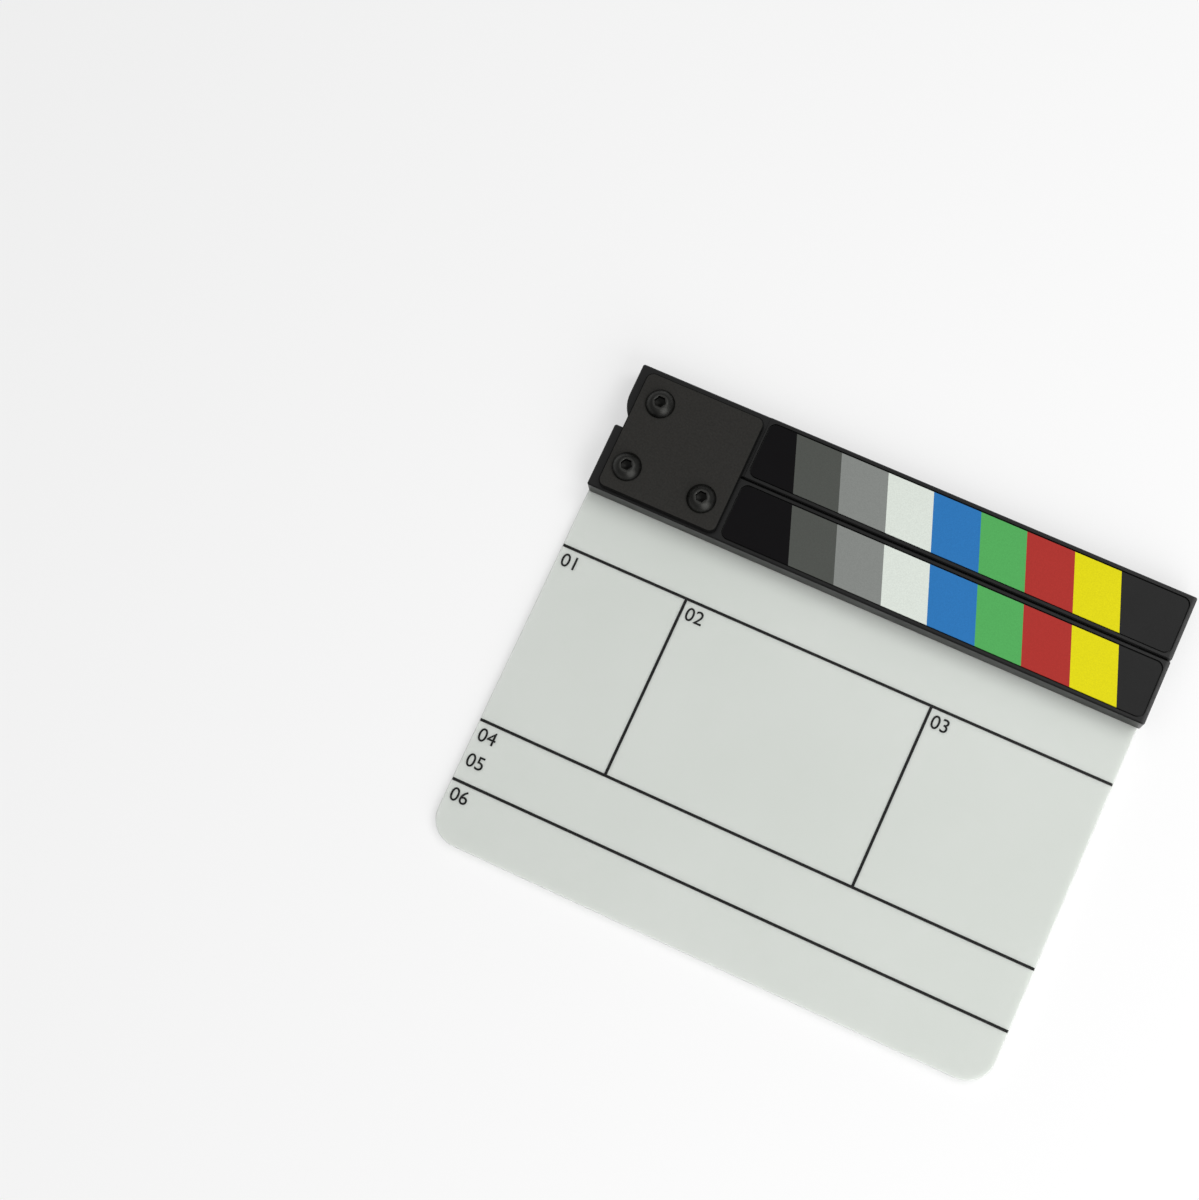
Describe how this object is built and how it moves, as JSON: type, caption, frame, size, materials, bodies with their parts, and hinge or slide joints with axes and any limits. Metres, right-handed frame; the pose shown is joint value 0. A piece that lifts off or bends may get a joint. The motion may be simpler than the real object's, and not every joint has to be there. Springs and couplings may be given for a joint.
{
  "type": "clapperboard",
  "caption": "Small film clapperboard: a white translucent acrylic slate under hinged black clap sticks with slanted colour stripes, joined at their end by a screwed plate.",
  "frame": {"origin": "middle of the footprint, on the plane of the back", "axes": "+X along the sticks from the hinge to the free end, +Y from the foot of the board to the sticks, +Z out of the written face"},
  "size_m": [0.221, 0.1932, 0.0185],
  "materials": {
    "white_acrylic": "satin, translucent",
    "black_acetal": "fine matte",
    "printed_film": "matte print",
    "black_plate": "matte black coat",
    "black_screw": "satin black oxide",
    "brass": "turned",
    "washer_nylon": "plain",
    "plated_magnet": "nickel plate",
    "black_ink": "screen print on the board"
  },
  "bodies": {
    "slate": {"slate_board": "white_acrylic", "lower_stick": "black_acetal", "lower_colour_strip": "printed_film", "hinge_plate": "black_plate", "pivot_screw": "black_screw", "plate_screws": "black_screw", "pivot_sleeve_nut": "black_screw", "front_pivot_washer": "washer_nylon", "rear_pivot_washer": "washer_nylon", "plate_inserts": "brass", "board_screws": "black_screw", "board_inserts": "brass", "lower_magnet": "plated_magnet"},
    "clap_arm": {"upper_stick": "black_acetal", "upper_colour_strip": "printed_film", "pivot_bush": "brass", "upper_magnet": "plated_magnet"}
  },
  "joints": [
    {"name": "clap_hinge", "type": "hinge", "parent": "slate", "child": "clap_arm", "pos_m": [-0.0978, 0.08385, 0.00635], "axis": [0, 0, 1], "range_deg": [0, 90]}
  ]
}
